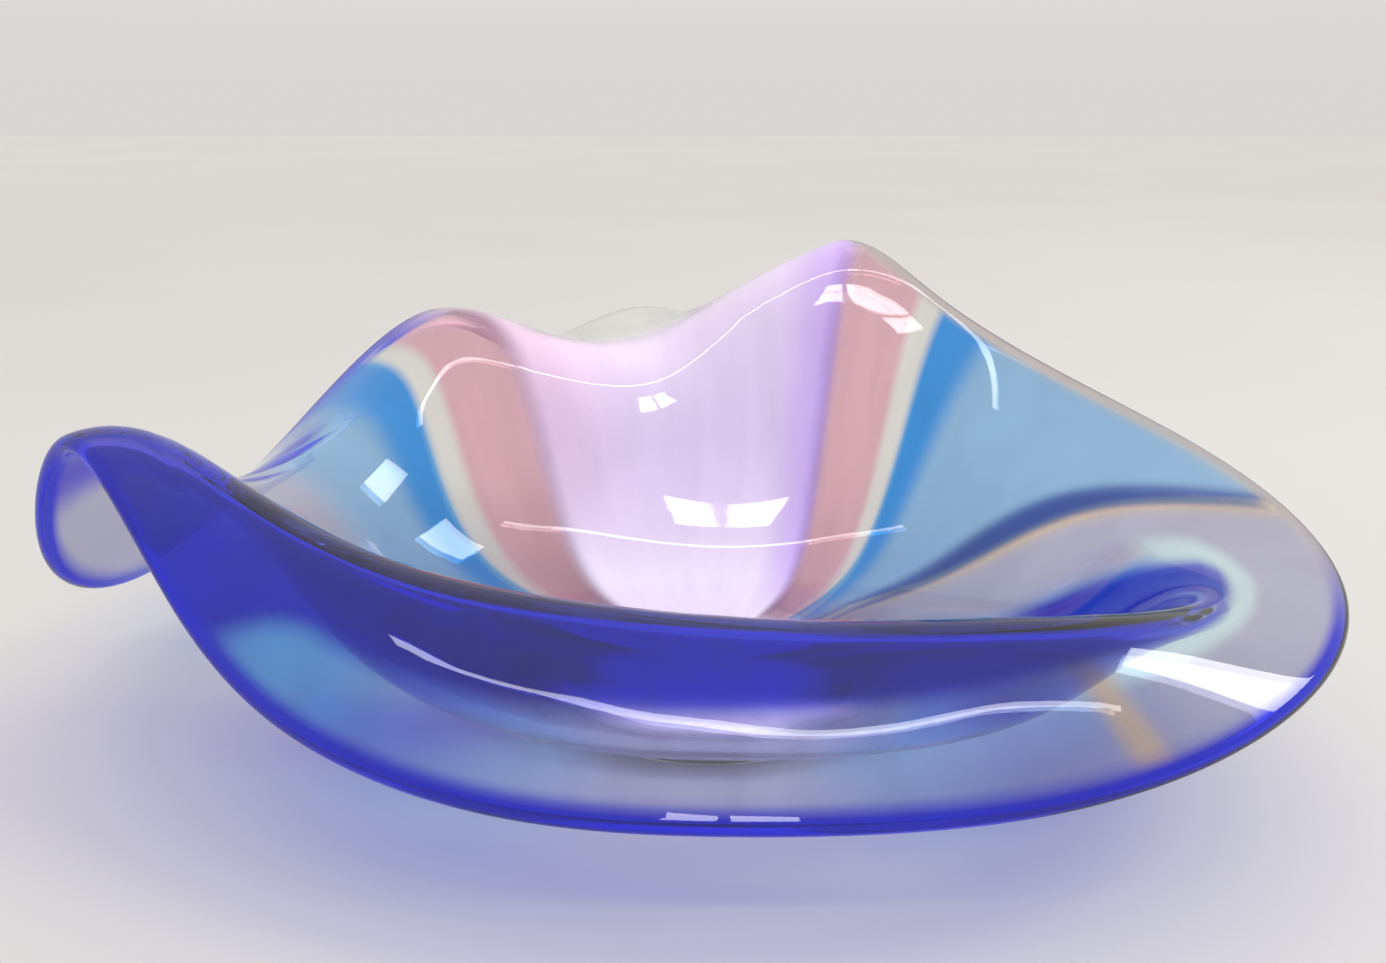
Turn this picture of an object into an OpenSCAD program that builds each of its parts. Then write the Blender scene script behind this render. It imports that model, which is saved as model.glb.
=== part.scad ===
// Free-form cased glass bowl with a folded, flaring rim.
// A clear outer casing and a clear inner casing hold a thin layer of coloured bands between them.
// A cobalt overlay lies behind the near wall, two trails wrap the rim, and a ground foot carries it all.
// Millimetres. +Z up, +X to the bowl's right, -Y to its near side. Origin: middle of the resting face.

/* [Foot] */
// Diameter of the foot where it rests
foot_d = 96; // [88:1:104]
// Height of the foot
foot_h = 4; // [3.6:0.1:4.2]
// Diameter of the ground and polished mark under the foot
pontil_d = 28; // [20:1:40]
// Depth of that mark
pontil_depth = 0.8; // [0.4:0.1:1.2]

/* [Bowl] */
// Radius of the flat part of the floor
floor_r = 48; // [44:1:52]
// How high the tall back fold is drawn up
back_peak = 140; // [120:1:150]
// How high the back-left fold is drawn up
left_back_peak = 122; // [100:1:130]
// How high the left fold is drawn up
left_peak = 116; // [90:1:120]
// How high the near lip stands at its lowest point
near_lip_z = 36; // [30:1:50]

/* [Wall] */
// Full thickness of the cased wall
wall = 6; // [5:0.5:7]
// Clear glass over the colour on the inside
inner_case = 2; // [1.5:0.1:2.2]
// Thickness of the coloured layer
colour = 1.2; // [0.8:0.1:1.4]
// Greatest thickness of the cobalt overlay
overlay = 1; // [0.6:0.1:1.2]
// How far the rim wrap stands out past the wall
rim_bulge = 3.4; // [2.5:0.1:4]

/* [Hidden] */
foot_r = foot_d / 2;
pontil_r = pontil_d / 2;
// Height of the middle of the wall at the floor
floor_z = 7;
wrap_steps = 8;
eps = 0.0001;

// Folds around the bowl: azimuth, then [radius, height] of the body, wall, crest, lip and rim rings
folds = [
    [340, [104, 14], [126, 34], [142, 52], [160, 58], [178, 59]],
    [5, [104, 14], [122, 38], [136, 56], [151, 63], [166, 68]],
    [28, [92, 14], [110, 42], [120, 66], [128, 76], [135, 85]],
    [50, [78, 14], [98, 50], [108, 80], [114, 98], [120, 108]],
    [66, [72, 14], [90, 54], [97, 96], [104, back_peak - 6], [112, back_peak]],
    [82, [68, 14], [84, 50], [92, 110], [110, 120], [144, 78]],
    [100, [68, 14], [84, 46], [92, 88], [126, 80], [180, 98]],
    [118, [72, 14], [92, 48], [99, 90], [124, 90], [156, 68]],
    [136, [80, 14], [102, 48], [112, 82], [122, left_back_peak - 8], [134, left_back_peak]],
    [152, [92, 14], [112, 44], [120, 70], [140, 80], [184, 46]],
    [170, [102, 14], [120, 42], [134, 58], [164, 56], [202, 18]],
    [184, [104, 14], [124, 44], [144, 70], [180, 78], [204, 44]],
    [193, [102, 14], [122, 48], [140, 82], [160, left_peak - 10], [172, left_peak]],
    [208, [94, 14], [112, 48], [124, 84], [138, 86], [150, 52]],
    [228, [80, 14], [98, 46], [106, 79], [124, 66], [137, near_lip_z + 2]],
    [250, [70, 14], [84, 44], [92, 76], [112, 60], [131, near_lip_z]],
    [270, [66, 14], [80, 44], [88, 72], [110, 58], [127, near_lip_z]],
    [290, [72, 14], [86, 44], [96, 72], [118, 56], [135, near_lip_z + 1]],
    [306, [82, 14], [99, 42], [114, 73], [133, 62], [149, near_lip_z + 4]],
    [322, [96, 14], [115, 38], [133, 66], [150, 62], [167, near_lip_z + 13]],
];
fold_count = len(folds);
knots = [0, 0, 0, 0, 1, 2, 3, 4, 5, 5, 5, 5];
span = 5;

// Edges between colours, counted in folds: at the floor, halfway up the wall and at the rim
edges = [
    [2.30, 1.35, 0.55],
    [2.38, 1.43, 0.63],
    [2.46, 1.70, 0.72],
    [2.75, 2.62, 2.48],
    [2.90, 2.89, 2.85],
    [3.02, 3.08, 3.04],
    [3.55, 3.68, 3.62],
    [7.84, 7.72, 7.95],
    [8.45, 8.49, 8.35],
    [8.62, 8.80, 8.47],
    [8.95, 9.20, 8.88],
    [9.90, 10.00, 9.70],
    [11.20, 11.20, 11.30],
    [13.40, 13.40, 13.50],
    [17.70, 17.82, 18.10],
    [17.85, 17.98, 18.26],
    [21.45, 20.80, 20.00],
    [22.30, 21.35, 20.55],
];
// Grid stations given to each colour, in the same order
shares = [1, 2, 6, 2, 1, 3, 14, 3, 1, 2, 3, 4, 7, 14, 1, 8, 2];
function start(band) = band == 0 ? 0 : start(band - 1) + shares[band - 1];
stations = start(len(shares));

// Grid rows from the core in the middle of the floor to the rim
floor_rows = 3;
wall_rows = 10;
trail_rows = 2;
lip_rows = 5;
row_floor = floor_rows;
row_trail = row_floor + wall_rows;
row_lip = row_trail + trail_rows;
row_rim = row_lip + lip_rows;
core_edge = 0.08;
floor_edge = 0.27;
trail_width = 0.035;

// Layer faces, from the outside of the wall to the inside
OUTER = 0;
BACK = 1;
COLOUR_OUT = 2;
COLOUR_IN = 3;
INNER = 4;

function mix(a, b, t) = a + (b - a) * t;
function unit(p) = p / norm(p);
function polar(r, a, z) = [r * cos(a), r * sin(a), z];

function ring(fold, k) =
    k == 0 ? [0, 0, floor_z] :
    k == 1 ? polar(0.55 * floor_r, fold[0], floor_z) :
    k == 2 ? polar(floor_r, fold[0], floor_z) :
    polar(fold[k - 2][0], fold[0], fold[k - 2][1]);
net = [for (fold = folds) [for (k = [0 : 7]) ring(fold, k)]];

// Smooth weights of four neighbouring folds, and how they change around the bowl
function around(f) = [
    pow(1 - f, 3),
    3 * pow(f, 3) - 6 * f * f + 4,
    -3 * pow(f, 3) + 3 * f * f + 3 * f + 1,
    pow(f, 3)] / 6;
function around_slope(f) = [
    -pow(1 - f, 2),
    3 * f * f - 4 * f,
    -3 * f * f + 2 * f + 1,
    f * f] / 2;

// Smooth weights of the eight rings from the middle of the floor to the rim
function share(part, whole) = whole > 0 ? part / whole : 0;
function hump(i, d, x) =
    d == 0 ? (x >= knots[i] && x < knots[i + 1] ? 1 : 0) :
    share(x - knots[i], knots[i + d] - knots[i]) * hump(i, d - 1, x)
    + share(knots[i + d + 1] - x, knots[i + d + 1] - knots[i + 1]) * hump(i + 1, d - 1, x);
function outward(v) = let (x = min(span * v, span - eps)) [for (i = [0 : 7]) hump(i, 3, x)];

function four(u, weights) = [for (c = [-1 : 2]) weights * net[(floor(u) + c + fold_count) % fold_count]];
function skin_at(u, v) = around(u - floor(u)) * four(u, outward(v));
function facing(u, v) =
    let (f = u - floor(u))
    let (low = min(v, 1 - 0.01))
    let (along = around_slope(f) * four(u, outward(v)))
    let (across = around(f) * (four(u, outward(low + 0.01)) - four(u, outward(low))))
    unit(cross(across, along));

// Where a station and a row of the grid lie on the surface
belongs = [for (b = [0 : len(shares) - 1]) for (i = [0 : shares[b] - 1]) [b, i / shares[b]]];
function edge(b, v) =
    let (w = max(v, floor_edge))
    let (low = floor_edge, mid = 0.65, high = 1)
    edges[b][0] * (w - mid) * (w - high) / ((low - mid) * (low - high))
    + edges[b][1] * (w - low) * (w - high) / ((mid - low) * (mid - high))
    + edges[b][2] * (w - low) * (w - mid) / ((high - low) * (high - mid));
function fold_at(s, v) = mix(edge(belongs[s][0], v), edge(belongs[s][0] + 1, v), belongs[s][1]);
function trail_at(s) = 0.87 + 0.06 * cos(18 * (fold_at(s, 1) - 14));
function height_at(s, j) =
    let (t = trail_at(s))
    j <= row_floor ? mix(core_edge, floor_edge, j / floor_rows) :
    j <= row_trail ? mix(floor_edge, t, (j - row_floor) / wall_rows) :
    j <= row_lip ? t + trail_width * (j - row_trail) / trail_rows :
    mix(t + trail_width, 1, (j - row_lip) / lip_rows);

spots = [for (j = [0 : row_rim]) [for (s = [0 : stations - 1])
    let (v = height_at(s, j)) [fold_at(s, v), v]]];
middle = [for (row = spots) [for (spot = row) skin_at(spot[0], spot[1])]];
normal = [for (row = spots) [for (spot = row) spot[1] > core_edge ? facing(spot[0], spot[1]) : [0, 0, 1]]];

// The overlay swells between these stations and rows and thins to nothing at its edge
overlay_from = start(12) + 1;
overlay_to = start(16);
function swell(t) = t <= 0 || t >= 1 ? 0 : pow(sin(180 * t), 0.5);
function overlay_at(s, j) = overlay
    * swell((s - overlay_from) / (overlay_to - overlay_from))
    * swell((j - row_floor) / wall_rows);

function depth(s, j, layer) =
    layer == INNER ? wall / 2 :
    layer == COLOUR_IN ? wall / 2 - inner_case :
    layer == COLOUR_OUT ? wall / 2 - inner_case - colour :
    layer == BACK ? wall / 2 - inner_case - colour - overlay_at(s, j) :
    -wall / 2;
// The outside is flat where it sits on the foot
function level(p, j, layer) = layer == OUTER && j <= row_floor ? [p[0], p[1], foot_h] : p;
function place(s, j, layer) =
    let (t = s % stations)
    level(middle[j][t] + normal[j][t] * depth(t, j, layer), j, layer);

// Triangles of one quad, always split along the same diagonal so that neighbours meet face to face
function quad(a, b, c, d, flip) = flip ? [[a, c, b], [a, d, c]] : [[a, b, c], [a, c, d]];
function whole(faces) = [for (f = faces) if (f[0] != f[1] && f[1] != f[2] && f[2] != f[0]) f];

// Closed mass of glass between two stations, two rows and two layers
module glass(s0, s1, j0, j1, outside, inside, thin_edge = false) {
    ns = s1 - s0;
    nj = j1 - j0;
    closed = ns == stations;
    points = [for (layer = [outside, inside]) for (j = [j0 : j1]) for (s = [s0 : s1]) place(s, j, layer)];
    id = function(s, j, k)
        let (rim = thin_edge && (s == 0 || s == ns || j == 0 || j == nj))
        ((rim ? 0 : k) * (nj + 1) + j) * (ns + 1) + (closed ? s % ns : s);
    skins = [for (j = [0 : nj - 1]) for (s = [0 : ns - 1]) for (k = [1, 0]) each
        quad(id(s, j, k), id(s + 1, j, k), id(s + 1, j + 1, k), id(s, j + 1, k), k == 0)];
    ends = [for (s = [0 : ns - 1]) for (j = [0, nj]) each
        quad(id(s, j, 0), id(s + 1, j, 0), id(s + 1, j, 1), id(s, j, 1), j == nj)];
    sides = closed ? [] : [for (j = [0 : nj - 1]) for (s = [0, ns]) each
        quad(id(s, j, 0), id(s, j + 1, 0), id(s, j + 1, 1), id(s, j, 1), s == 0)];
    // A thin edge has no depth, so a triangle that lies wholly on it would be a flap
    edge_point = function(i)
        let (s = i % (ns + 1), j = floor(i / (ns + 1)))
        j <= nj && (s == 0 || s == ns || j == 0 || j == nj);
    flap = function(f) thin_edge && edge_point(f[0]) && edge_point(f[1]) && edge_point(f[2]);
    polyhedron(points, [for (f = whole(concat(skins, ends, sides))) if (!flap(f)) f]);
}

// Half-round trail of glass wrapped over the end of the wall
function wrap_ring(s) =
    let (m = middle[row_rim][s], n = normal[row_rim][s])
    let (next = middle[row_rim][(s + 1) % stations], last = middle[row_rim][(s + stations - 1) % stations])
    let (ahead = unit(cross(next - last, n)))
    concat(
        [for (layer = [OUTER, COLOUR_OUT, COLOUR_IN, INNER]) place(s, row_rim, layer)],
        [for (i = [1 : wrap_steps - 1])
            let (a = 180 * i / wrap_steps)
            m + n * wall / 2 * cos(a) + ahead * rim_bulge * sin(a)]);
module wrap(s0, s1) {
    ns = s1 - s0;
    size = 4 + wrap_steps - 1;
    points = [for (s = [s0 : s1]) each wrap_ring(s % stations)];
    skins = [for (s = [0 : ns - 1]) for (i = [0 : size - 1])
        let (a = s * size + i, b = s * size + (i + 1) % size)
        each quad(a, a + size, b + size, b, false)];
    caps = [[for (i = [0 : size - 1]) i], [for (i = [size - 1 : -1 : 0]) ns * size + i]];
    polyhedron(points, concat(skins, caps));
}

module band(b) {
    glass(start(b), start(b + 1), row_floor, row_rim, COLOUR_OUT, COLOUR_IN);
}

module foot_body() {
    rotate_extrude($fn = 96)
        polygon([[0, pontil_depth], [pontil_r - 3, pontil_depth], [pontil_r, 0], [foot_r - 0.8, 0],
            [foot_r, 0.8], [foot_r - 0.6, foot_h], [0, foot_h]]);
}

// First gather on the iron, in the middle of the floor
module core_body() {
    base = [for (s = [0 : stations - 1]) place(s, 0, OUTER)];
    translate([0, 0, foot_h])
        linear_extrude(place(0, 0, INNER)[2] - foot_h)
            polygon([for (p = base) [p[0], p[1]]]);
}

module foot() {
    color([0.80, 0.86, 0.97]) foot_body();
}
module core_gather() {
    color([0.86, 0.80, 0.95]) core_body();
}
// The outer casing is made in eight sectors that meet face to face
module casing(s0, s1) {
    color([0.78, 0.82, 0.90, 0.5]) glass(s0, s1, 0, row_rim, OUTER, BACK);
}
module outer_casing_right_back() {
    casing(0, start(6));
}
module outer_casing_back_right() {
    casing(start(6), start(6) + 7);
}
module outer_casing_back_left() {
    casing(start(6) + 7, start(8));
}
module outer_casing_left_back() {
    casing(start(8), start(12));
}
module outer_casing_left() {
    casing(start(12), start(13));
}
module outer_casing_near_left() {
    casing(start(13), start(13) + 7);
}
module outer_casing_near_right() {
    casing(start(13) + 7, start(15));
}
module outer_casing_right() {
    casing(start(15), stations);
}
module inner_casing() {
    color([0.86, 0.88, 0.94, 0.5]) glass(0, stations, 0, row_rim, COLOUR_IN, INNER);
}
module opal_floor() {
    color([0.86, 0.80, 0.95]) glass(0, stations, 0, row_floor, COLOUR_OUT, COLOUR_IN);
}
module clear_line() {
    color([0.84, 0.76, 0.70]) band(0);
}
module navy_stripe() {
    color([0.08, 0.16, 0.45]) band(1);
}
module pale_panel_right() {
    color([0.48, 0.68, 0.88]) band(2);
}
module azure_stripe_right() {
    color([0.18, 0.52, 0.88]) band(3);
}
module clear_stripe_right() {
    color([0.84, 0.84, 0.80]) band(4);
}
module rose_band_right() {
    color([0.82, 0.62, 0.70]) band(5);
}
module opal_panel() {
    color([0.88, 0.78, 0.96]) band(6);
}
module rose_band_left() {
    color([0.82, 0.62, 0.70]) band(7);
}
module clear_stripe_left() {
    color([0.84, 0.84, 0.80]) band(8);
}
module azure_stripe_left() {
    color([0.18, 0.52, 0.88]) band(9);
}
module pale_panel_left() {
    color([0.48, 0.68, 0.88]) band(10);
}
module smoke_panel_left() {
    color([0.62, 0.62, 0.72]) band(11);
}
module violet_panel() {
    color([0.36, 0.36, 0.82]) band(12);
}
module azure_wall() {
    color([0.25, 0.50, 0.90]) glass(start(13), start(16), row_floor, row_trail, COLOUR_OUT, COLOUR_IN);
}
module cyan_trail() {
    color([0.66, 0.84, 0.95]) glass(start(13), start(16), row_trail, row_lip, COLOUR_OUT, COLOUR_IN);
}
module near_lip() {
    color([0.60, 0.60, 0.74]) glass(start(13), start(14), row_lip, row_rim, COLOUR_OUT, COLOUR_IN);
}
module clear_stripe_near() {
    color([0.84, 0.76, 0.70]) glass(start(14), start(15), row_lip, row_rim, COLOUR_OUT, COLOUR_IN);
}
module right_lip() {
    color([0.62, 0.62, 0.76]) glass(start(15), start(16), row_lip, row_rim, COLOUR_OUT, COLOUR_IN);
}
module smoke_fan() {
    color([0.62, 0.60, 0.74]) band(16);
}
module cobalt_overlay() {
    color([0.05, 0.06, 0.62]) glass(overlay_from, overlay_to, row_floor, row_trail, BACK, COLOUR_OUT, true);
}
module rim_wrap_cobalt() {
    color([0.06, 0.05, 0.80]) wrap(start(7), start(16));
}
module rim_wrap_clear() {
    color([0.70, 0.66, 0.66]) wrap(start(16), start(7) + stations);
}

foot();
core_gather();
outer_casing_right_back();
outer_casing_back_right();
outer_casing_back_left();
outer_casing_left_back();
outer_casing_left();
outer_casing_near_left();
outer_casing_near_right();
outer_casing_right();
inner_casing();
opal_floor();
opal_panel();
rose_band_right();
rose_band_left();
clear_stripe_right();
clear_stripe_left();
azure_stripe_right();
azure_stripe_left();
pale_panel_right();
pale_panel_left();
navy_stripe();
clear_line();
smoke_fan();
smoke_panel_left();
violet_panel();
azure_wall();
cyan_trail();
near_lip();
clear_stripe_near();
right_lip();
cobalt_overlay();
rim_wrap_cobalt();
rim_wrap_clear();
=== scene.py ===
"""Looks of the free-form cased art glass bowl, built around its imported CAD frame.

The bowl is one continuous body of glass. Each colour is a closed piece of the full wall
thickness, and neighbours meet at seam faces that let light straight through, so the glass
refracts as one body.

A place on the bowl is (u, v): u counts folds round it, and v is the height share along its wall,
from 0 in the middle of the floor to 1 at the rim. The skin is worked out in millimetres and built
in metres. Row frame: +Z up, +X to the bowl's right, -Y to its near side, origin under the foot.
"""

import math

import bpy
import numpy as np
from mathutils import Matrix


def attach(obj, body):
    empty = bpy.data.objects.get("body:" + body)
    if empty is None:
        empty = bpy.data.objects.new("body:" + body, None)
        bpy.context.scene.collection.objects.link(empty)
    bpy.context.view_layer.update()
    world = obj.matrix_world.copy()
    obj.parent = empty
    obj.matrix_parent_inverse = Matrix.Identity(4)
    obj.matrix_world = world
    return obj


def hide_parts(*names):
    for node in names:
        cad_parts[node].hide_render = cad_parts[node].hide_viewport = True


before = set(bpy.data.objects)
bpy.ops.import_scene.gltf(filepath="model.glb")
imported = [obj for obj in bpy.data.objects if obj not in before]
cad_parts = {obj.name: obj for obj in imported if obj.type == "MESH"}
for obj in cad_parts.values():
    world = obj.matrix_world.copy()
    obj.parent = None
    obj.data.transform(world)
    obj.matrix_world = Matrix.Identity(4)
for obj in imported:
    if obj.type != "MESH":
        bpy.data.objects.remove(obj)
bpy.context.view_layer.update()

MM = 0.001
GLASS_IOR = 1.5

# ---------------------------------------------------------------- camera
CAMERA_AT = (-0.0054, -0.344, 0.1845)
CAMERA_DOWN = 18.5

scene = bpy.context.scene
camera_data = bpy.data.cameras.new("camera")
camera_data.sensor_width = 36.0
camera_data.lens = 31.17
camera_data.clip_start = 0.01
camera = bpy.data.objects.new("camera", camera_data)
camera.location = CAMERA_AT
camera.rotation_euler = (math.radians(90.0 - CAMERA_DOWN), 0.0, 0.0)
scene.collection.objects.link(camera)
bpy.context.scene.camera = camera

# ---------------------------------------------------------------- the bowl's skin, as in the CAD
WALL = 6.0
FLOOR_R = 48.0
FLOOR_Z = 7.0
FOOT_H = 4.0
RIM_BULGE = 3.4

# height shares where one row of pieces ends and the next begins
CENTRE = 0.01
CORE_EDGE = 0.08
FLOOR_EDGE = 0.27
COBALT_EDGE = 0.60
TRAIL_WIDTH = 0.035

# azimuth, then (radius, height) of the body, wall, crest, lip and rim rings
FOLDS = [
    (340, (104, 14), (126, 34), (142, 52), (160, 58), (178, 59)),
    (5, (104, 14), (122, 38), (136, 56), (151, 63), (166, 68)),
    (28, (92, 14), (110, 42), (120, 66), (128, 76), (135, 85)),
    (50, (78, 14), (98, 50), (108, 80), (114, 98), (120, 108)),
    (66, (72, 14), (90, 54), (97, 96), (104, 134), (112, 140)),
    (82, (68, 14), (84, 50), (92, 110), (110, 120), (144, 78)),
    (100, (68, 14), (84, 46), (92, 88), (126, 80), (180, 98)),
    (118, (72, 14), (92, 48), (99, 90), (124, 90), (156, 68)),
    (136, (80, 14), (102, 48), (112, 82), (122, 114), (134, 122)),
    (152, (92, 14), (112, 44), (120, 70), (140, 80), (184, 46)),
    (170, (102, 14), (120, 42), (134, 58), (164, 56), (202, 18)),
    (184, (104, 14), (124, 44), (144, 70), (180, 78), (204, 44)),
    (193, (102, 14), (122, 48), (140, 82), (160, 106), (172, 116)),
    (208, (94, 14), (112, 48), (124, 84), (138, 86), (150, 52)),
    (228, (80, 14), (98, 46), (106, 79), (124, 66), (137, 38)),
    (250, (70, 14), (84, 44), (92, 76), (112, 60), (131, 36)),
    (270, (66, 14), (80, 44), (88, 72), (110, 58), (127, 36)),
    (290, (72, 14), (86, 44), (96, 72), (118, 56), (135, 37)),
    (306, (82, 14), (99, 42), (114, 73), (133, 62), (149, 40)),
    (322, (96, 14), (115, 38), (133, 66), (150, 62), (167, 49)),
]
TURN = len(FOLDS)
FOLD_ANGLE = 360.0 / TURN

# where each colour starts, counted in folds: at the floor, halfway up the wall and at the rim
EDGES = [
    (2.30, 1.35, 0.55), (2.38, 1.43, 0.63), (2.46, 1.70, 0.72), (2.75, 2.62, 2.48),
    (2.90, 2.89, 2.85), (3.02, 3.08, 3.04), (3.55, 3.68, 3.62), (7.84, 7.72, 7.95),
    (8.45, 8.49, 8.35), (8.62, 8.80, 8.47), (8.95, 9.20, 8.88), (9.90, 10.00, 9.70),
    (11.20, 11.20, 11.30), (13.40, 13.40, 13.50), (17.70, 17.82, 18.10),
    (17.85, 17.98, 18.26), (21.45, 20.80, 20.00), (22.30, 21.35, 20.55),
]
HALFWAY = 0.65

# the colours in order round the bowl, and how many coarse stations each one spans
(LINE, NAVY, PALE_R, AZURE_R, CLEAR_R, ROSE_R, OPAL, ROSE_L, CLEAR_L, AZURE_L, PALE_L, SMOKE_L,
 VIOLET, NEAR, NEAR_STRIPE, RIGHT, FAN) = range(17)
SHARES = [1, 2, 6, 2, 1, 3, 14, 3, 1, 2, 3, 4, 7, 14, 1, 8, 2]
FINE = 5
STARTS = [FINE * sum(SHARES[:b]) for b in range(len(SHARES) + 1)]
STATIONS = STARTS[-1]

CORE_ROWS, FLOOR_ROWS, WALL_ROWS, COBALT_ROWS, TRAIL_ROWS, LIP_ROWS = 4, 8, 16, 12, 4, 12
ROW_CORE = CORE_ROWS
ROW_FLOOR = ROW_CORE + FLOOR_ROWS
ROW_COBALT = ROW_FLOOR + WALL_ROWS
ROW_TRAIL = ROW_COBALT + COBALT_ROWS
ROW_LIP = ROW_TRAIL + TRAIL_ROWS
ROW_RIM = ROW_LIP + LIP_ROWS
BEAD_STEPS = 16

BAND_OF = np.repeat(np.arange(len(SHARES)), [n * FINE for n in SHARES])
PART_OF = np.concatenate([np.arange(n * FINE) / (n * FINE) for n in SHARES])


def smooth(low, high, x):
    """Rises from 0 at low to 1 at high, level at both ends."""
    t = np.clip((x - low) / (high - low), 0.0, 1.0)
    return t * t * (3.0 - 2.0 * t)


def between(start, end, x):
    """1 between two soft edges, each given as (low, high), and 0 outside them."""
    return smooth(*start, x) * (1 - smooth(*end, x))


def edge(b, v):
    """Where colour b starts, in folds, at height share v."""
    w, low, mid, high = np.maximum(v, FLOOR_EDGE), FLOOR_EDGE, HALFWAY, 1.0
    e = EDGES[b]
    return (e[0] * (w - mid) * (w - high) / ((low - mid) * (low - high))
            + e[1] * (w - low) * (w - high) / ((mid - low) * (mid - high))
            + e[2] * (w - low) * (w - mid) / ((high - low) * (high - mid)))


def trail(u):
    """Height share of the cyan trail's lower edge: highest at the middle of the near side."""
    return 0.87 + 0.06 * np.cos(np.radians(FOLD_ANGLE * (u - 14.0)))


def fold_at(v):
    """Fold count of every station at height share v, which is one number per station."""
    out = np.zeros(STATIONS)
    for b in range(len(SHARES)):
        m = BAND_OF == b
        out[m] = edge(b, v[m]) + (edge(b + 1, v[m]) - edge(b, v[m])) * PART_OF[m]
    return out


def heights():
    """Height share of every row at every station."""
    low = trail(fold_at(np.ones(STATIONS)))
    borders = [np.full(STATIONS, share) for share in (CENTRE, CORE_EDGE, FLOOR_EDGE, COBALT_EDGE)]
    borders += [low, low + TRAIL_WIDTH, np.ones(STATIONS)]
    counts = (CORE_ROWS, FLOOR_ROWS, WALL_ROWS, COBALT_ROWS, TRAIL_ROWS, LIP_ROWS)
    rows = []
    for start, end, n in zip(borders, borders[1:], counts):
        rows += [start + (end - start) * i / n for i in range(n)]
    return np.array(rows + [np.ones(STATIONS)])


def net():
    """The points that pull the skin: eight rings at each fold."""
    out = []
    for azimuth, *upper in FOLDS:
        a = math.radians(azimuth)
        rings = [(0.0, FLOOR_Z), (0.55 * FLOOR_R, FLOOR_Z), (FLOOR_R, FLOOR_Z)] + upper
        out.append([(r * math.cos(a), r * math.sin(a), z) for r, z in rings])
    return np.array(out, float)


def outward(v):
    """Weights of the eight rings at height shares v: a clamped cubic B-spline."""
    knots = [0, 0, 0, 0, 1, 2, 3, 4, 5, 5, 5, 5]
    x = np.minimum(5.0 * v, 5.0 - 1e-7)
    humps = [((x >= knots[i]) & (x < knots[i + 1])).astype(float) for i in range(11)]
    for d in range(1, 4):
        higher = []
        for i in range(11 - d):
            h = np.zeros_like(x)
            if knots[i + d] > knots[i]:
                h = h + (x - knots[i]) / (knots[i + d] - knots[i]) * humps[i]
            if knots[i + d + 1] > knots[i + 1]:
                h = h + (knots[i + d + 1] - x) / (knots[i + d + 1] - knots[i + 1]) * humps[i + 1]
            higher.append(h)
        humps = higher
    return np.stack(humps[:8], -1)


NET = net()


def skin_at(u, v):
    """Middle of the wall, in millimetres: a B-spline that closes on itself round the bowl."""
    i = np.floor(u).astype(int)
    f = (u - i)[..., None, None]
    rings = ((1 - f) ** 3 * NET[(i - 1) % TURN] + (3 * f ** 3 - 6 * f * f + 4) * NET[i % TURN]
             + (-3 * f ** 3 + 3 * f * f + 3 * f + 1) * NET[(i + 1) % TURN]
             + f ** 3 * NET[(i + 2) % TURN]) / 6.0
    return np.einsum("...m,...mc->...c", outward(v), rings)


def unit(p):
    """The same directions at length 1."""
    return p / np.maximum(np.linalg.norm(p, axis=-1, keepdims=True), 1e-12)


V = heights()
U = np.array([fold_at(row) for row in V])
MIDDLE = skin_at(U, V)
STEP = 0.004
low_v = np.minimum(V, 1.0 - STEP)
along = skin_at(U + STEP, V) - skin_at(U - STEP, V)
across = skin_at(U, low_v + STEP) - skin_at(U, low_v)
FACING = unit(np.cross(across, along))
flat_share = 1.0 - smooth(0.05, 0.12, V)[..., None]
FACING = unit(FACING * (1 - flat_share) + np.array([0, 0, 1.0]) * flat_share)

inner = MIDDLE + FACING * WALL / 2
outer = MIDDLE - FACING * WALL / 2
# the outside runs smoothly from the flat seat on the foot into the wall
seat = 1.0 - smooth(0.19, 0.32, V)
outer[..., 2] = outer[..., 2] * (1 - seat) + FOOT_H * seat

ahead = unit(np.cross(np.roll(MIDDLE[-1], -1, 0) - np.roll(MIDDLE[-1], 1, 0), FACING[-1]))
bead = []
for i in range(1, BEAD_STEPS):
    a = math.pi * i / BEAD_STEPS
    bead.append(MIDDLE[-1] - FACING[-1] * WALL / 2 * math.cos(a)
                + ahead * RIM_BULGE * math.sin(a))

# one closed profile per station: outside from the centre to the rim, bead, then the inside back
PROFILE = np.concatenate([outer, np.array(bead), inner[::-1]]) * MM
PROFILE_U = np.concatenate([U, np.repeat(U[-1:], BEAD_STEPS - 1, 0), U[::-1]])
PROFILE_V = np.concatenate([V, np.repeat(V[-1:], BEAD_STEPS - 1, 0), V[::-1]])
LAST = len(PROFILE) - 1
ring_step = np.roll(PROFILE, -1, 1) - np.roll(PROFILE, 1, 1)
row_step = np.gradient(PROFILE, axis=0)
NORMAL = unit(np.cross(ring_step, row_step))
NORMAL[:2] = (0, 0, -1)
NORMAL[-2:] = (0, 0, 1)

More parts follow.
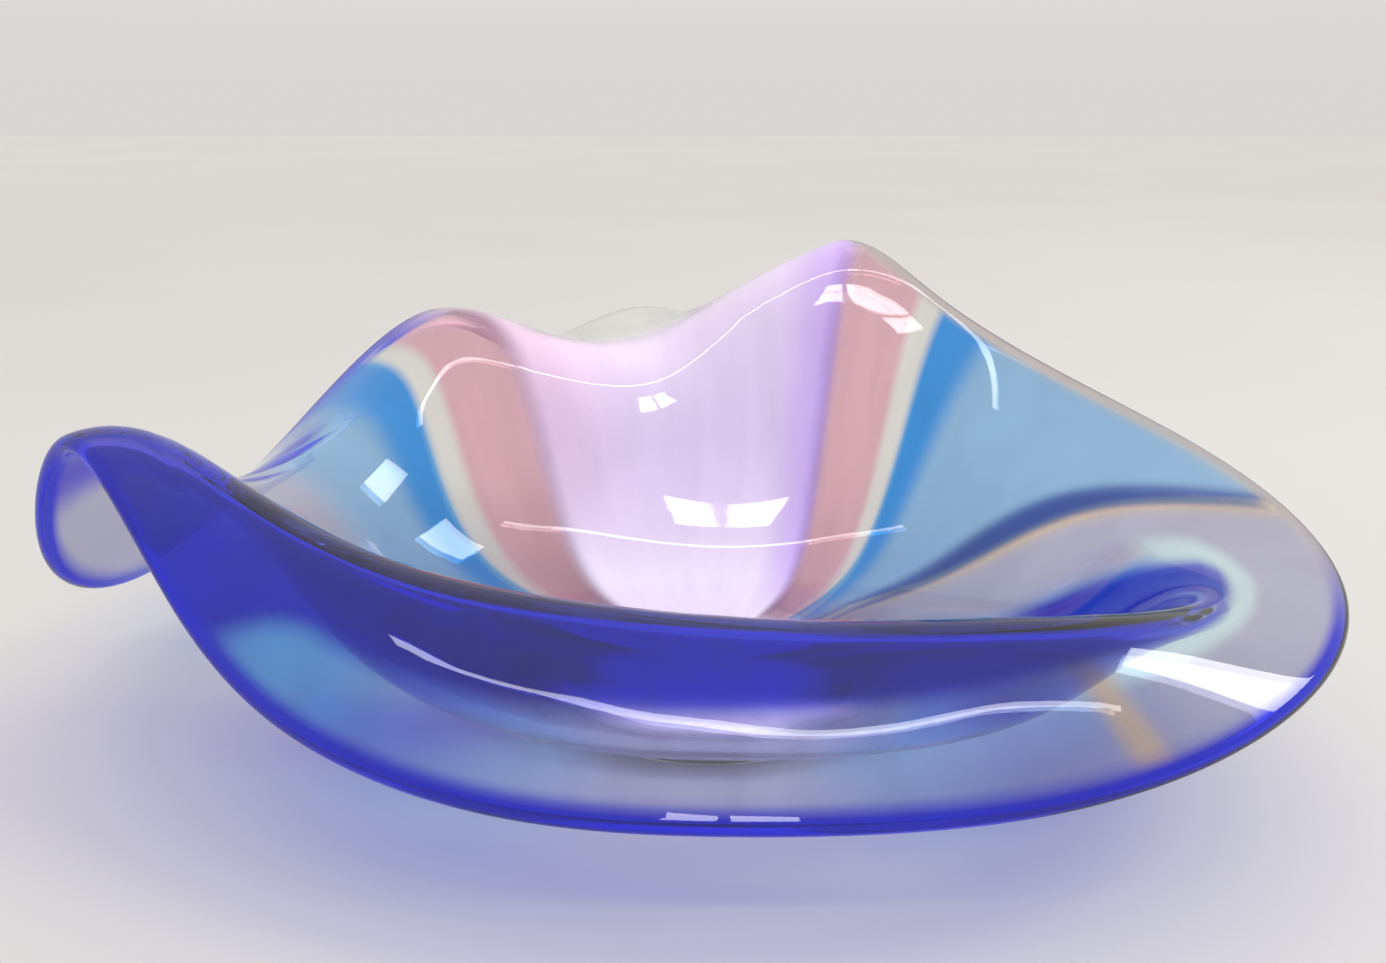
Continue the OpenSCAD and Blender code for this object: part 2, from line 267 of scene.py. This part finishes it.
# ---------------------------------------------------------------- colours, as one wall passes them
CLEAR = np.array([0.93, 0.93, 0.90])
AMBER = np.array([0.92, 0.70, 0.46])
DEEP_NAVY = np.array([0.03, 0.09, 0.42])
PALE = np.array([0.34, 0.60, 0.92])
AZURE = np.array([0.04, 0.36, 0.97])
ROSE = np.array([0.90, 0.54, 0.64])
SMOKE = np.array([0.56, 0.56, 0.74])
COBALT = np.array([0.012, 0.020, 0.66])
VIOLET_BLUE = np.array([0.13, 0.11, 0.80])
HALO = np.array([0.74, 0.95, 1.0])
BRIGHT_AZURE = np.array([0.16, 0.56, 1.0])
# painted reflection of the opal panel and window, paler, for the front just outside the cobalt
PALE_PAINTED_OPAL_REFLECTION = np.array([0.80, 0.82, 1.0])
LIGHT_AZURE = np.array([0.32, 0.62, 1.0])
# painted reflection of the opal panel and window, for the front of the near wall's lower part
PAINTED_OPAL_REFLECTION = np.array([0.84, 0.84, 1.0])
RIM_BLUE = np.array([0.008, 0.014, 0.80])
RIM_SMOKE = np.array([0.72, 0.66, 0.64])
OPAL_ROSE = np.array([0.86, 0.60, 0.80])
OPAL_LILAC = np.array([0.84, 0.69, 0.93])
# painted shade: the opal panel darker and more violet towards its right side
OPAL_VIOLET_SHADE = np.array([0.62, 0.40, 0.92])
# painted light: the opal whiter towards the floor
OPAL_WHITE_GLOW = np.array([0.87, 0.78, 0.94])

BAND_COLOUR = [AMBER, DEEP_NAVY, PALE, AZURE, CLEAR, ROSE, ROSE, ROSE, CLEAR, AZURE, PALE, SMOKE,
               VIOLET_BLUE, SMOKE, AMBER, SMOKE, SMOKE]
# how far each colour runs into its neighbour at its starting edge, in folds
RUN = [0.10, 0.10, 0.16, 0.22, 0.05, 0.06, 0.05, 0.05, 0.05, 0.06, 0.30, 0.50,
       0.35, 0.55, 0.05, 0.05, 0.12]

# soft edges of the painted patches, as (low, high) in folds
NEAR_STARTS = (12.6, 13.6)
FRONT_STARTS, FRONT_ENDS = (13.8, 15.0), (17.2, 18.4)
FRINGE_STARTS, FRINGE_ENDS = (12.4, 13.6), (17.6, 18.6)
COBALT_STARTS = (11.5, 12.9)
VIOLET_STARTS, VIOLET_ENDS = (11.2, 12.0), (12.6, 13.6)
RIM_BLUE_STARTS, RIM_BLUE_ENDS = (7.5, 8.3), (19.5, 20.5)
ARCH_STARTS, ARCH_ENDS = (4.9, 5.6), (7.0, 7.6)
OPAL_FRONT_STARTS, OPAL_FRONT_ENDS = (12.0, 13.6), (18.2, 20.0)
# and as (low, high) in height share, upwards
LIP_RISE = (0.86, 0.93)
RIM_RISE = (0.990, 1.0)


def lerp(a, b, t):
    """Colour a where t is 0 and colour b where t is 1."""
    return a * (1 - t[..., None]) + b * t[..., None]


def flood(colour, u):
    """One colour at every place of u."""
    return np.broadcast_to(colour, u.shape + (3,))


def counted_from(first, u):
    """Fold count u taken round the bowl, so that it starts at the fold called first."""
    x = u % TURN
    return np.where(x < first, x + TURN, x)


def paint_bands(u, v):
    """The bands in their order round the bowl, each running softly into the next."""
    first = edge(LINE, v)
    w = (u - first) % TURN + first
    colour = flood(BAND_COLOUR[LINE], u).copy()
    for b in range(NAVY, len(SHARES)):
        e = edge(b, v)
        colour = lerp(colour, BAND_COLOUR[b], smooth(e - RUN[b] / 2, e + RUN[b] / 2, w))
    half = RUN[LINE] / 2
    colour = lerp(colour, BAND_COLOUR[LINE], smooth(-half, half, w - first - TURN))
    return lerp(colour, BAND_COLOUR[FAN], 0.5 * (1 - smooth(0, half, w - first)))


def cobalt_depth(x, v):
    """How far inside the cobalt's rounded outer edge a place is, in widths of that edge."""
    out_edge = trail(np.clip(x, 10, 22)) + 0.02 + 0.14 * (1 - smooth(12.4, 13.8, x))
    to_end = (edge(FAN, v) - 0.12 - x) / 0.30
    to_out = (out_edge - v) / 0.035
    round_corner = 1.0 - np.sqrt(np.clip(1 - to_end, 0, None) ** 2
                                 + np.clip(1 - to_out, 0, None) ** 2)
    return np.where((to_end < 1) & (to_out < 1), round_corner, np.minimum(to_end, to_out))


def paint(u, v):
    """Colour of the wall at fold count u and height share v."""
    colour = paint_bands(u, v)

    # the near wall, from the violet panel to the fan: light blue below, with lavender in front as
    # a painted reflection of the opal panel and window, then cobalt and the lip
    x = counted_from(5, u)
    end = edge(FAN, v)
    near = smooth(*NEAR_STARTS, x) * (1 - smooth(end - 0.25, end + 0.05, x))
    front = between(FRONT_STARTS, FRONT_ENDS, x)
    low = lerp(flood(LIGHT_AZURE, u), PAINTED_OPAL_REFLECTION, front)
    t = trail(np.clip(x, 10, 22))
    colour = lerp(colour, low, near * (1 - smooth(t - 0.01, t + 0.03, v)))

    # outside the cobalt: light blue, a paler painted lavender reflection of the opal panel and
    # window in front, and a pale halo round the right end
    depth = cobalt_depth(x, v)
    fringe = (smooth(-2.6, -0.9, depth) * between(FRINGE_STARTS, FRINGE_ENDS, x)
              * smooth(0.78, 0.86, v))
    colour = lerp(colour, lerp(flood(BRIGHT_AZURE, u), PALE_PAINTED_OPAL_REFLECTION, front), 0.9 * fringe)
    halo = smooth(-1.25, -0.7, depth) * smooth(*FRONT_ENDS, x) * smooth(0.70, 0.80, v)
    colour = lerp(colour, HALO, 0.95 * halo)

    # the amber stripe over the near lip
    first, second = edge(NEAR_STRIPE, v), edge(RIGHT, v)
    stripe = smooth(first - 0.03, first + 0.03, x) * (1 - smooth(second - 0.03, second + 0.03, x))
    colour = lerp(colour, AMBER, 0.9 * stripe * smooth(*LIP_RISE, v))

    # the cobalt overlay, and the violet that it runs into at the left
    in_edge = COBALT_EDGE - 0.20 * smooth(17.6, 19.6, x)
    cobalt = (smooth(-0.25, 0.45, depth) * smooth(in_edge - 0.10, in_edge + 0.08, v)
              * smooth(*COBALT_STARTS, x))
    colour = lerp(colour, COBALT, cobalt)
    violet = between(VIOLET_STARTS, VIOLET_ENDS, x) * smooth(0.40, 0.80, v)
    colour = lerp(colour, VIOLET_BLUE * 0.8, 0.6 * violet * (1 - cobalt))

    # each rim wrap tints the last of the wall
    return lerp(colour, paint_rim(u, v), smooth(*RIM_RISE, v) * (0.6 + 0.4 * blue_rim(u)))


def blue_rim(u):
    """Where the rim wrap is cobalt: it fades into the smoky wrap at both ends."""
    return between(RIM_BLUE_STARTS, RIM_BLUE_ENDS, counted_from(5, u))


def paint_rim(u, v):
    """Colour of the rim wraps, the same at every height."""
    return lerp(flood(RIM_SMOKE, u), RIM_BLUE, blue_rim(u))


def milk(u, v):
    """How milky the opal is: it runs down the back, over the core and out under the near wall."""
    x = counted_from(1, u)
    first, second = edge(OPAL, v), edge(OPAL + 1, v)
    panel = between((first - 0.02, first + 0.30), (second - 0.34, second + 0.02), x)
    # the arch behind the panel is clear
    arch = between(ARCH_STARTS, ARCH_ENDS, x) * smooth(*LIP_RISE, v)
    reach = 0.235 + 0.02 * np.sin(1.3 * x) + 0.01 * np.sin(3.1 * x)
    front = between(OPAL_FRONT_STARTS, OPAL_FRONT_ENDS, x)
    front = front * (1 - smooth(reach - 0.05, reach + 0.03, v))
    core = 1 - smooth(0.08, 0.17, v)
    return np.maximum(np.maximum(panel * (1 - arch), front), core)


def paint_opal(u, v):
    """Colour of the opal pieces: the milky body, with painted light whiter towards the floor and
    painted shade darker violet at the panel's right side, and the clear band colour where it thins
    out.
    """
    x = u % TURN
    colour = flood(OPAL_LILAC, u)
    # painted light: the opal turns whiter towards the floor
    colour = lerp(colour, OPAL_WHITE_GLOW, 0.9 * (1 - smooth(0.30, 0.55, v)))
    colour = lerp(colour, OPAL_ROSE, smooth(6.2, 7.6, x) * smooth(0.35, 0.75, v) * (x < 10))
    # painted shade: the panel turns darker violet towards its right side
    colour = lerp(colour, OPAL_VIOLET_SHADE, (1 - smooth(3.6, 4.7, x)) * smooth(0.12, 0.4, v) * (x > 2))
    beside = lerp(paint(u, v), CLEAR, between((5.0, 5.6), ARCH_ENDS, x))
    return lerp(beside, colour, smooth(0.0, 0.6, milk(u, v)))


# ---------------------------------------------------------------- material parts
def add(tree, kind, **values):
    """A new node with the given settings."""
    node = tree.nodes.new(kind)
    for key, value in values.items():
        setattr(node, key, value)
    return node


def noise(tree, vector, scale, detail=2.0, distortion=0.0):
    """Soft noise, from 0 to 1."""
    node = add(tree, "ShaderNodeTexNoise")
    node.inputs["Scale"].default_value = scale
    node.inputs["Detail"].default_value = detail
    node.inputs["Distortion"].default_value = distortion
    tree.links.new(vector, node.inputs["Vector"])
    return node.outputs["Fac"]


def ranged(tree, value, low, high, start=0.3, end=0.7):
    """A value that runs from start to end, stretched to run from low to high."""
    node = add(tree, "ShaderNodeMapRange")
    for key, number in (("From Min", start), ("From Max", end), ("To Min", low), ("To Max", high)):
        node.inputs[key].default_value = number
    tree.links.new(value, node.inputs["Value"])
    return node.outputs["Result"]


def tinted(tree, streak, patch):
    """The painted colour, drawn out in faint streaks and clouds, and the place it is at."""
    paint_node = add(tree, "ShaderNodeAttribute", attribute_name="tint")
    chart = add(tree, "ShaderNodeAttribute", attribute_name="chart").outputs["Vector"]
    place = add(tree, "ShaderNodeTexCoord").outputs["Object"]
    streaks = ranged(tree, noise(tree, chart, 9.0, 3.0, 0.4), 1.0 - streak, 1.0)
    clouds = ranged(tree, noise(tree, place, 16.0, 2.0, 0.6), 1.0 - patch, 1.0)
    both = add(tree, "ShaderNodeMath", operation="MULTIPLY")
    tree.links.new(streaks, both.inputs[0])
    tree.links.new(clouds, both.inputs[1])
    scaled = add(tree, "ShaderNodeVectorMath", operation="SCALE")
    tree.links.new(paint_node.outputs["Color"], scaled.inputs[0])
    tree.links.new(both.outputs[0], scaled.inputs["Scale"])
    return scaled.outputs[0], place


def waviness(tree, place, strength):
    """The slow ripple of a surface that was shaped hot."""
    node = add(tree, "ShaderNodeBump")
    node.inputs["Strength"].default_value = strength
    node.inputs["Distance"].default_value = 0.002
    tree.links.new(noise(tree, place, 26.0, 1.0, 0.3), node.inputs["Height"])
    return node.outputs["Normal"]


def new_material(name):
    """An empty material with its output node."""
    material = bpy.data.materials.new(name)
    material.use_nodes = True
    tree = material.node_tree
    tree.nodes.clear()
    return material, tree, add(tree, "ShaderNodeOutputMaterial")


def clear_body(tree):
    """The shader of solid glass."""
    glass = add(tree, "ShaderNodeBsdfPrincipled")
    glass.inputs["Transmission Weight"].default_value = 1.0
    glass.inputs["IOR"].default_value = GLASS_IOR
    return glass


def let_lamps_through(tree, shader, colour):
    """Lamps and bounced light reach through the glass, tinted by it."""
    path = add(tree, "ShaderNodeLightPath")
    either = add(tree, "ShaderNodeMath", operation="MAXIMUM")
    tree.links.new(path.outputs["Is Shadow Ray"], either.inputs[0])
    tree.links.new(path.outputs["Is Diffuse Ray"], either.inputs[1])
    # such a ray meets both skins of the wall, so each takes half the tint
    root = add(tree, "ShaderNodeGamma")
    root.inputs["Gamma"].default_value = 0.5
    tree.links.new(colour, root.inputs["Color"])
    through = add(tree, "ShaderNodeBsdfTransparent")
    tree.links.new(root.outputs[0], through.inputs["Color"])
    mix = add(tree, "ShaderNodeMixShader")
    tree.links.new(either.outputs[0], mix.inputs[0])
    tree.links.new(shader, mix.inputs[1])
    tree.links.new(through.outputs[0], mix.inputs[2])
    return mix.outputs[0]


def glass_material(name, streak=0.10, patch=0.06, wave=0.10):
    """Coloured glass that is clear all through."""
    material, tree, out = new_material(name)
    colour, place = tinted(tree, streak, patch)
    glass = clear_body(tree)
    tree.links.new(colour, glass.inputs["Base Color"])
    tree.links.new(ranged(tree, noise(tree, place, 60.0, 3.0), 0.0, 0.012),
                   glass.inputs["Roughness"])
    tree.links.new(waviness(tree, place, wave), glass.inputs["Normal"])
    tree.links.new(let_lamps_through(tree, glass.outputs[0], colour), out.inputs["Surface"])
    return material


def opal_material(name):
    """Milky glass that turns clear where its milk thins out."""
    material, tree, out = new_material(name)
    colour, place = tinted(tree, 0.09, 0.09)
    body = add(tree, "ShaderNodeBsdfPrincipled")
    body.inputs["IOR"].default_value = GLASS_IOR
    body.inputs["Coat Weight"].default_value = 0.6
    body.inputs["Coat Roughness"].default_value = 0.02
    tree.links.new(colour, body.inputs["Base Color"])
    milky = add(tree, "ShaderNodeAttribute", attribute_name="milk")
    clear = ranged(tree, milky.outputs["Fac"], 1.0, 0.0, 0.0, 1.0)
    tree.links.new(clear, body.inputs["Transmission Weight"])
    tree.links.new(ranged(tree, noise(tree, place, 60.0, 3.0), 0.02, 0.06),
                   body.inputs["Roughness"])
    tree.links.new(waviness(tree, place, 0.10), body.inputs["Normal"])
    tree.links.new(body.outputs[0], out.inputs["Surface"])
    return material


def seam_material():
    """The join between two fused masses of glass: nothing to see."""
    material, tree, out = new_material("fused_seam")
    through = add(tree, "ShaderNodeBsdfTransparent")
    tree.links.new(through.outputs[0], out.inputs["Surface"])
    return material


SEAM = seam_material()


# ---------------------------------------------------------------- pieces
def spot(k, s):
    """Number of the grid point at profile row k and station s."""
    return k * STATIONS + s % STATIONS


def build(name, quads, seams, slot, material, colours, nodes, milky=None):
    """A piece from skin and seam faces of the shared grid, with its corners given as (k, s)."""
    used = sorted({spot(*corner) for face in quads + seams for corner in face})
    index = {g: i for i, g in enumerate(used)}
    ks, ss = np.divmod(np.array(used), STATIONS)
    mesh = bpy.data.meshes.new(name)
    faces = [[index[spot(*corner)] for corner in face] for face in quads + seams]
    mesh.from_pydata(PROFILE[ks, ss].tolist(), [], faces)
    mesh.materials.append(material)
    mesh.materials.append(SEAM)
    mesh.polygons.foreach_set("material_index", [0] * len(quads) + [1] * len(seams))
    mesh.polygons.foreach_set("use_smooth", [True] * len(faces))
    u, v = PROFILE_U[ks, ss], PROFILE_V[ks, ss]
    rgba = np.ones((len(used), 4))
    rgba[:, :3] = colours(u, v)
    tint = mesh.attributes.new("tint", "FLOAT_COLOR", "POINT")
    tint.data.foreach_set("color", rgba.ravel())
    # the chart goes round the bowl quickly and up the wall slowly, so its noise runs in streaks
    turn = np.radians(FOLD_ANGLE * u)
    places = np.stack([np.cos(turn), np.sin(turn), 0.35 * v], -1)
    chart = mesh.attributes.new("chart", "FLOAT_VECTOR", "POINT")
    chart.data.foreach_set("vector", places.ravel())
    if milky is not None:
        mesh.attributes.new("milk", "FLOAT", "POINT").data.foreach_set("value", milky(u, v))
    mesh.update()
    # skins take their normals from the whole bowl, so that gloss runs on over a seam
    normals = np.zeros((len(mesh.loops), 3))
    for polygon in mesh.polygons:
        for li in polygon.loop_indices:
            if polygon.material_index == 0:
                g = used[mesh.loops[li].vertex_index]
                normals[li] = NORMAL[g // STATIONS, g % STATIONS]
            else:
                normals[li] = polygon.normal
    mesh.normals_split_custom_set(normals.tolist())
    piece = bpy.data.objects.new(name, mesh)
    scene.collection.objects.link(piece)
    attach(piece, "root")
    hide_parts(*nodes)


def block(s0, s1, j0, j1):
    """Skin faces and seam faces of the wall between two stations and two rows."""
    quads = [[(k, s), (k, s + 1), (k + 1, s + 1), (k + 1, s)]
             for low, high in ((j0, j1), (LAST - j1, LAST - j0))
             for k in range(low, high) for s in range(s0, s1)]
    seams = [[(j1, s), (j1, s + 1), (LAST - j1, s + 1), (LAST - j1, s)] for s in range(s0, s1)]
    if j0 > 0:
        seams += [[(j0, s), (LAST - j0, s), (LAST - j0, s + 1), (j0, s + 1)]
                  for s in range(s0, s1)]
    if s1 - s0 < STATIONS:
        seams += [[(j, s0), (j + 1, s0), (LAST - j - 1, s0), (LAST - j, s0)]
                  for j in range(j0, j1)]
        seams += [[(j, s1), (LAST - j, s1), (LAST - j - 1, s1), (j + 1, s1)]
                  for j in range(j0, j1)]
    elif j0 == 0:
        # a full disc: one face closes each side of the middle
        quads += [[(0, s) for s in range(s1, s0, -1)], [(LAST, s) for s in range(s0, s1)]]
    return quads, seams


def rim(s0, s1):
    """Half-round bead over the end of the wall."""
    top = LAST - ROW_RIM
    quads = [[(k, s), (k, s + 1), (k + 1, s + 1), (k + 1, s)]
             for k in range(ROW_RIM, top) for s in range(s0, s1)]
    seams = [[(ROW_RIM, s), (top, s), (top, s + 1), (ROW_RIM, s + 1)] for s in range(s0, s1)]
    seams += [[(k, s0) for k in range(ROW_RIM, top + 1)],
              [(k, s1) for k in range(top, ROW_RIM - 1, -1)]]
    return quads, seams


GLASS = {slot: glass_material("glass_" + slot) for slot in
         ("amber_line", "navy", "pale_blue", "azure", "clear_stripe", "rose", "smoke", "violet",
          "cobalt", "cyan")}
OPAL_GLASS = opal_material("opal_glass")
RIM_LOOK = (0.06, 0.04, 0.05)


def casing(side):
    """The sectors of the clear outer casing on one side."""
    return sorted(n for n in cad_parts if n.startswith("outer_casing_" + side))


def glass_block(name, b0, b1, j0, j1, slot, nodes):
    """A clear piece from the start of colour b0 to the start of colour b1, between two rows."""
    build(name, *block(STARTS[b0], STARTS[b1], j0, j1), slot, GLASS[slot], paint, nodes)


def band(b, name, slot, nodes):
    """One colour over the whole height of the wall."""
    glass_block(name, b, b + 1, ROW_FLOOR, ROW_RIM, slot, nodes)


def opal_block(name, s0, s1, j0, j1, nodes):
    """An opal piece between two stations and two rows."""
    build(name, *block(s0, s1, j0, j1), "opal", OPAL_GLASS, paint_opal, nodes, milk)


def rim_wrap(name, s0, s1, slot, node):
    """A length of the rim's bead."""
    build(name, *rim(s0, s1), slot, glass_material("glass_" + slot, *RIM_LOOK), paint_rim, [node])


band(LINE, "bowl_clear_line", "amber_line", ["clear_line"])
band(NAVY, "bowl_navy_stripe", "navy", ["navy_stripe"])
band(PALE_R, "bowl_pale_panel_right", "pale_blue", ["pale_panel_right"] + casing("right_back"))
band(AZURE_R, "bowl_azure_stripe_right", "azure", ["azure_stripe_right"])
band(CLEAR_R, "bowl_clear_stripe_right", "clear_stripe", ["clear_stripe_right"])
band(ROSE_R, "bowl_rose_band_right", "rose", ["rose_band_right"])
band(ROSE_L, "bowl_rose_band_left", "rose", ["rose_band_left"])
band(CLEAR_L, "bowl_clear_stripe_left", "clear_stripe", ["clear_stripe_left"])
band(AZURE_L, "bowl_azure_stripe_left", "azure", ["azure_stripe_left"])
band(PALE_L, "bowl_pale_panel_left", "pale_blue", ["pale_panel_left"])
band(SMOKE_L, "bowl_smoke_panel_left", "smoke", ["smoke_panel_left"] + casing("left"))
band(VIOLET, "bowl_violet_panel", "violet", ["violet_panel"])
band(FAN, "bowl_smoke_fan", "smoke", ["smoke_fan"])

glass_block("bowl_azure_wall", NEAR, FAN, ROW_FLOOR, ROW_COBALT, "azure",
            ["azure_wall"] + casing("near"))
glass_block("bowl_cobalt_crest", NEAR, FAN, ROW_COBALT, ROW_TRAIL, "cobalt", ["cobalt_overlay"])
glass_block("bowl_cyan_trail", NEAR, FAN, ROW_TRAIL, ROW_LIP, "cyan", ["cyan_trail"])
glass_block("bowl_near_lip", NEAR, NEAR_STRIPE, ROW_LIP, ROW_RIM, "smoke", ["near_lip"])
glass_block("bowl_near_stripe", NEAR_STRIPE, RIGHT, ROW_LIP, ROW_RIM, "amber_line",
            ["clear_stripe_near"])
glass_block("bowl_right_lip", RIGHT, FAN, ROW_LIP, ROW_RIM, "smoke",
            ["right_lip", "outer_casing_right"])

opal_block("bowl_opal_panel", STARTS[OPAL], STARTS[OPAL + 1], ROW_FLOOR, ROW_RIM,
           ["opal_panel"] + casing("back"))
opal_block("bowl_opal_floor", 0, STATIONS, ROW_CORE, ROW_FLOOR, ["opal_floor", "inner_casing"])
opal_block("bowl_core_gather", 0, STATIONS, 0, ROW_CORE, ["core_gather"])

rim_wrap("bowl_rim_wrap_cobalt", STARTS[ROSE_L], STARTS[FAN], "cobalt_rim", "rim_wrap_cobalt")
rim_wrap("bowl_rim_wrap_clear", STARTS[FAN], STARTS[ROSE_L] + STATIONS, "smoky_rim",
         "rim_wrap_clear")

# ---------------------------------------------------------------- foot
FOOT_SIDES = 128
# (radius, height) in millimetres, from the middle of the ground mark round the edge to the seat
FOOT_PROFILE = [(0, 0.8), (5.5, 0.8), (10.2, 0.78), (11.6, 0.6), (12.9, 0.25), (14.2, 0.05),
                (15.5, 0.0), (30, 0.0), (46.6, 0.0), (47.3, 0.12), (47.8, 0.45), (48.0, 0.9),
                (47.9, 2.0), (47.6, 3.2), (47.4, 3.98), (30, 3.98), (0, 3.98)]


def foot_mesh():
    """The foot, turned from its profile."""
    points, faces = [], []
    for r, z in FOOT_PROFILE:
        for n in range(FOOT_SIDES if r else 1):
            a = 2 * math.pi * n / FOOT_SIDES
            points.append((r * math.cos(a) * MM, r * math.sin(a) * MM, z * MM))
    rows = [1 + FOOT_SIDES * i for i in range(len(FOOT_PROFILE) - 2)]
    for n in range(FOOT_SIDES):
        m = (n + 1) % FOOT_SIDES
        faces.append((0, rows[0] + m, rows[0] + n))
        for a, b in zip(rows, rows[1:]):
            faces.append((a + n, a + m, b + m, b + n))
        faces.append((len(points) - 1, rows[-1] + n, rows[-1] + m))
    mesh = bpy.data.meshes.new("bowl_foot")
    mesh.from_pydata(points, [], faces)
    mesh.polygons.foreach_set("use_smooth", [True] * len(faces))
    return mesh


def foot_material():
    """Polished round the edge, frosted where the iron's mark was ground away."""
    material, tree, out = new_material("glass_foot")
    place = add(tree, "ShaderNodeTexCoord").outputs["Object"]
    glass = clear_body(tree)
    radius = add(tree, "ShaderNodeVectorMath", operation="LENGTH")
    tree.links.new(place, radius.inputs[0])
    frost = ranged(tree, radius.outputs["Value"], 0.40, 0.03, 0.013, 0.0155)
    tree.links.new(frost, glass.inputs["Roughness"])
    shade = add(tree, "ShaderNodeValToRGB")
    shade.color_ramp.elements[0].color = (0.80, 0.80, 0.86, 1)
    shade.color_ramp.elements[1].color = (0.93, 0.94, 0.97, 1)
    tree.links.new(noise(tree, place, 120.0, 4.0), shade.inputs["Fac"])
    tint = shade.outputs["Color"]
    tree.links.new(tint, glass.inputs["Base Color"])
    tree.links.new(waviness(tree, place, 0.15), glass.inputs["Normal"])
    tree.links.new(let_lamps_through(tree, glass.outputs[0], tint), out.inputs["Surface"])
    return material


foot = bpy.data.objects.new("bowl_foot", foot_mesh())
foot.data.materials.append(foot_material())
scene.collection.objects.link(foot)
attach(foot, "root")
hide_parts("foot")

# ---------------------------------------------------------------- studio: ground, sky and lamps
GROUND_HALF = 4.0
GROUND_DROP = 0.0002


def ground_material():
    """Plain pale ground, a little paler far away, so that it meets the sky softly."""
    material, tree, out = new_material("studio_floor")
    ground = add(tree, "ShaderNodeBsdfPrincipled")
    ground.inputs["Roughness"].default_value = 0.6
    place = add(tree, "ShaderNodeTexCoord").outputs["Object"]
    ramp = add(tree, "ShaderNodeValToRGB")
    ramp.color_ramp.elements[0].color = (0.60, 0.585, 0.565, 1)
    ramp.color_ramp.elements[1].color = (0.65, 0.635, 0.615, 1)
    tree.links.new(noise(tree, place, 3.0, 3.0), ramp.inputs["Fac"])
    away = add(tree, "ShaderNodeVectorMath", operation="LENGTH")
    tree.links.new(place, away.inputs[0])
    lift = add(tree, "ShaderNodeVectorMath", operation="SCALE")
    tree.links.new(ramp.outputs["Color"], lift.inputs[0])
    tree.links.new(ranged(tree, away.outputs["Value"], 1.0, 1.10, 0.5, 3.0), lift.inputs["Scale"])
    tree.links.new(lift.outputs[0], ground.inputs["Base Color"])
    tree.links.new(ground.outputs[0], out.inputs["Surface"])
    return material


def lay_ground():
    """The plane that the bowl stands on, a hair below its foot."""
    mesh = bpy.data.meshes.new("studio_floor")
    corners = [(x * GROUND_HALF, y * GROUND_HALF, 0)
               for x, y in ((-1, -1), (1, -1), (1, 1), (-1, 1))]
    mesh.from_pydata(corners, [], [(0, 1, 2, 3)])
    mesh.materials.append(ground_material())
    ground = bpy.data.objects.new("studio_floor", mesh)
    ground.location.z = -GROUND_DROP
    scene.collection.objects.link(ground)


def hang_sky():
    """A pale sky, brighter overhead than at the horizon."""
    world = bpy.data.worlds.new("studio_sky")
    scene.world = world
    world.use_nodes = True
    tree = world.node_tree
    background = tree.nodes["Background"]
    background.inputs["Color"].default_value = (0.80, 0.79, 0.77, 1)
    height = add(tree, "ShaderNodeSeparateXYZ")
    tree.links.new(add(tree, "ShaderNodeTexCoord").outputs["Generated"], height.inputs[0])
    glow = ranged(tree, height.outputs["Z"], 0.86, 1.45, 0.0, 1.0)
    tree.links.new(glow, background.inputs["Strength"])


def lamp(name, at, target, width, height, power, colour=(1, 1, 1)):
    """A rectangular area lamp that faces its target."""
    data = bpy.data.lights.new(name, "AREA")
    data.shape = "RECTANGLE"
    data.size, data.size_y = width, height
    data.energy = power
    data.color = colour
    thing = bpy.data.objects.new(name, data)
    thing.location = at
    aim = np.array(target, float) - np.array(at, float)
    yaw = math.atan2(aim[1], aim[0]) - math.pi / 2
    pitch = math.atan2(aim[2], math.hypot(aim[0], aim[1])) + math.pi / 2
    thing.rotation_euler = (pitch, 0, yaw)
    scene.collection.objects.link(thing)


lay_ground()
hang_sky()

# a window of four panes behind the camera, a softer one to the right, and a long strip overhead
PANE = 0.18
PANE_STEP = 0.11
for column in (-1, 1):
    for row in (-1, 1):
        lamp("window_pane", (-0.09 + PANE_STEP * column, -1.55, 1.05 + PANE_STEP * row),
             (0.05, 0.08, 0.10), PANE, PANE, 0.9, (1.0, 0.98, 0.95))
lamp("side_window", (1.25, -0.10, 1.15), (0.05, -0.05, 0.05), 0.45, 0.55, 7, (0.97, 0.98, 1.0))
lamp("strip", (0.0, -0.95, 1.35), (0, -0.05, 0.05), 2.4, 0.05, 3.0)

# ---------------------------------------------------------------- many layers of glass need depth
LAYERS = 20
scene.cycles.max_bounces = 24
scene.cycles.transmission_bounces = LAYERS
scene.cycles.glossy_bounces = LAYERS
scene.cycles.transparent_max_bounces = 48
scene.cycles.use_denoising = True
scene.view_settings.view_transform = "Standard"
